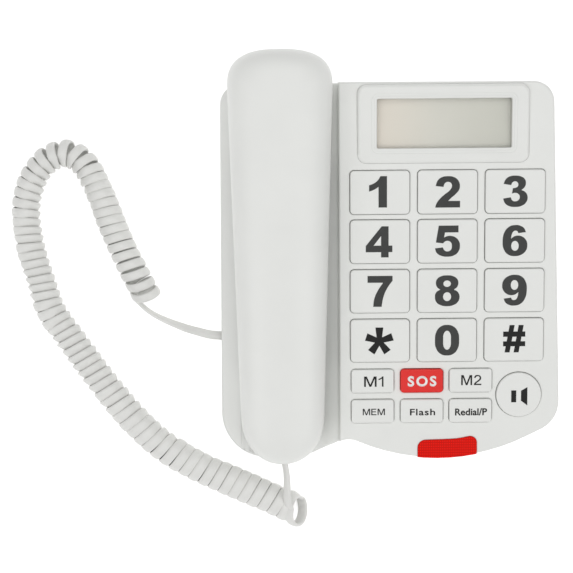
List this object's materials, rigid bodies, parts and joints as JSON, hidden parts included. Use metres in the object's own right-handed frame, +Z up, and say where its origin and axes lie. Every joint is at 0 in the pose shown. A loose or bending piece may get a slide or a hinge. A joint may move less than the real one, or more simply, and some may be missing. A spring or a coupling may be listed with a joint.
{
  "type": "corded desk telephone",
  "caption": "Desk telephone with a sloping deck of large push keys, a display, a handset that lifts out of its cradle and a curly cord lying beside it.",
  "frame": {"origin": "on the table, under the middle of the base and handset together", "axes": "+X to the user's right, +Y to the rear along the handset, +Z up"},
  "size_m": [0.2964, 0.2546, 0.0802],
  "materials": {
    "shell": "satin",
    "key": "satin",
    "red_key": "satin",
    "lamp_lens": "translucent, ribbed",
    "rubber": "matte",
    "clear": "clear",
    "lcd": "satin",
    "board": "satin",
    "steel": "plated",
    "black": "satin",
    "cord": "satin"
  },
  "bodies": {
    "base": {"base_cord_jack": "black", "base_cord_plug": "clear", "base_lower_shell": "shell", "base_screw_1": "steel", "base_screw_2": "steel", "base_screw_3": "steel", "base_screw_4": "steel", "base_speaker": "steel", "base_upper_shell": "shell", "battery_cell_1": "steel", "battery_cell_2": "steel", "battery_cell_3": "steel", "cord_coil": "cord", "cord_lead_base": "cord", "display_bezel": "shell", "display_lens": "clear", "foot_1": "rubber", "foot_2": "rubber", "foot_3": "rubber", "foot_4": "rubber", "key_mat": "rubber", "lcd_panel": "lcd", "line_jack": "black", "main_board": "board", "ring_lamp_lens": "lamp_lens", "ring_led": "clear"},
    "key_1": {"key_1": "key"},
    "key_2": {"key_2": "key"},
    "key_3": {"key_3": "key"},
    "key_4": {"key_4": "key"},
    "key_5": {"key_5": "key"},
    "key_6": {"key_6": "key"},
    "key_7": {"key_7": "key"},
    "key_8": {"key_8": "key"},
    "key_9": {"key_9": "key"},
    "key_star": {"key_star": "key"},
    "key_0": {"key_0": "key"},
    "key_hash": {"key_hash": "key"},
    "key_m1": {"key_m1": "key"},
    "key_sos": {"key_sos": "red_key"},
    "key_m2": {"key_m2": "key"},
    "key_mem": {"key_mem": "key"},
    "key_flash": {"key_flash": "key"},
    "key_redial": {"key_redial": "key"},
    "key_speaker": {"key_speaker": "key"},
    "hook": {"hook_plunger": "shell"},
    "door": {"battery_door": "shell"},
    "switch": {"ringer_switch": "black"},
    "handset": {"handset_back_shell": "shell", "handset_front_shell": "shell", "earpiece_capsule": "black", "microphone_capsule": "black", "handset_weight": "steel", "handset_cord_jack": "black", "handset_screw_1": "steel", "handset_screw_2": "steel", "handset_cord_plug": "clear", "cord_lead_handset": "cord"}
  },
  "joints": [
    {"name": "key_1_press", "type": "slide", "parent": "base", "child": "key_1", "axis": [0, 0.1392, -0.9903], "range_m": [0, 0.0012], "stiffness_N_per_m": 400, "springref_m": -0.0005},
    {"name": "key_2_press", "type": "slide", "parent": "base", "child": "key_2", "axis": [0, 0.1392, -0.9903], "range_m": [0, 0.0012], "stiffness_N_per_m": 400, "springref_m": -0.0005},
    {"name": "key_3_press", "type": "slide", "parent": "base", "child": "key_3", "axis": [0, 0.1392, -0.9903], "range_m": [0, 0.0012], "stiffness_N_per_m": 400, "springref_m": -0.0005},
    {"name": "key_4_press", "type": "slide", "parent": "base", "child": "key_4", "axis": [0, 0.1392, -0.9903], "range_m": [0, 0.0012], "stiffness_N_per_m": 400, "springref_m": -0.0005},
    {"name": "key_5_press", "type": "slide", "parent": "base", "child": "key_5", "axis": [0, 0.1392, -0.9903], "range_m": [0, 0.0012], "stiffness_N_per_m": 400, "springref_m": -0.0005},
    {"name": "key_6_press", "type": "slide", "parent": "base", "child": "key_6", "axis": [0, 0.1392, -0.9903], "range_m": [0, 0.0012], "stiffness_N_per_m": 400, "springref_m": -0.0005},
    {"name": "key_7_press", "type": "slide", "parent": "base", "child": "key_7", "axis": [0, 0.1392, -0.9903], "range_m": [0, 0.0012], "stiffness_N_per_m": 400, "springref_m": -0.0005},
    {"name": "key_8_press", "type": "slide", "parent": "base", "child": "key_8", "axis": [0, 0.1392, -0.9903], "range_m": [0, 0.0012], "stiffness_N_per_m": 400, "springref_m": -0.0005},
    {"name": "key_9_press", "type": "slide", "parent": "base", "child": "key_9", "axis": [0, 0.1392, -0.9903], "range_m": [0, 0.0012], "stiffness_N_per_m": 400, "springref_m": -0.0005},
    {"name": "key_star_press", "type": "slide", "parent": "base", "child": "key_star", "axis": [0, 0.1392, -0.9903], "range_m": [0, 0.0012], "stiffness_N_per_m": 400, "springref_m": -0.0005},
    {"name": "key_0_press", "type": "slide", "parent": "base", "child": "key_0", "axis": [0, 0.1392, -0.9903], "range_m": [0, 0.0012], "stiffness_N_per_m": 400, "springref_m": -0.0005},
    {"name": "key_hash_press", "type": "slide", "parent": "base", "child": "key_hash", "axis": [0, 0.1392, -0.9903], "range_m": [0, 0.0012], "stiffness_N_per_m": 400, "springref_m": -0.0005},
    {"name": "key_m1_press", "type": "slide", "parent": "base", "child": "key_m1", "axis": [0, 0.1392, -0.9903], "range_m": [0, 0.0012], "stiffness_N_per_m": 400, "springref_m": -0.0005},
    {"name": "key_sos_press", "type": "slide", "parent": "base", "child": "key_sos", "axis": [0, 0.1392, -0.9903], "range_m": [0, 0.0012], "stiffness_N_per_m": 400, "springref_m": -0.0005},
    {"name": "key_m2_press", "type": "slide", "parent": "base", "child": "key_m2", "axis": [0, 0.1392, -0.9903], "range_m": [0, 0.0012], "stiffness_N_per_m": 400, "springref_m": -0.0005},
    {"name": "key_mem_press", "type": "slide", "parent": "base", "child": "key_mem", "axis": [0, 0.1392, -0.9903], "range_m": [0, 0.0012], "stiffness_N_per_m": 400, "springref_m": -0.0005},
    {"name": "key_flash_press", "type": "slide", "parent": "base", "child": "key_flash", "axis": [0, 0.1392, -0.9903], "range_m": [0, 0.0012], "stiffness_N_per_m": 400, "springref_m": -0.0005},
    {"name": "key_redial_press", "type": "slide", "parent": "base", "child": "key_redial", "axis": [0, 0.1392, -0.9903], "range_m": [0, 0.0012], "stiffness_N_per_m": 400, "springref_m": -0.0005},
    {"name": "key_speaker_press", "type": "slide", "parent": "base", "child": "key_speaker", "axis": [0, 0.1392, -0.9903], "range_m": [0, 0.0012], "stiffness_N_per_m": 400, "springref_m": -0.0005},
    {"name": "handset_lift", "type": "slide", "parent": "base", "child": "handset", "axis": [0, -0.1392, 0.9903], "range_m": [0, 0.12]},
    {"name": "hook_rise", "type": "slide", "parent": "base", "child": "hook", "axis": [0, -0.1392, 0.9903], "range_m": [0, 0.004]},
    {"name": "battery_door_slide", "type": "slide", "parent": "base", "child": "door", "axis": [0, -1, 0], "range_m": [0, 0.006]},
    {"name": "ringer_switch_slide", "type": "slide", "parent": "base", "child": "switch", "axis": [0, 1, 0], "range_m": [-0.002, 0.002]}
  ],
  "couplings": [
    {"joint": "hook_rise", "follows": "handset_lift", "ratio": 0.033}
  ]
}
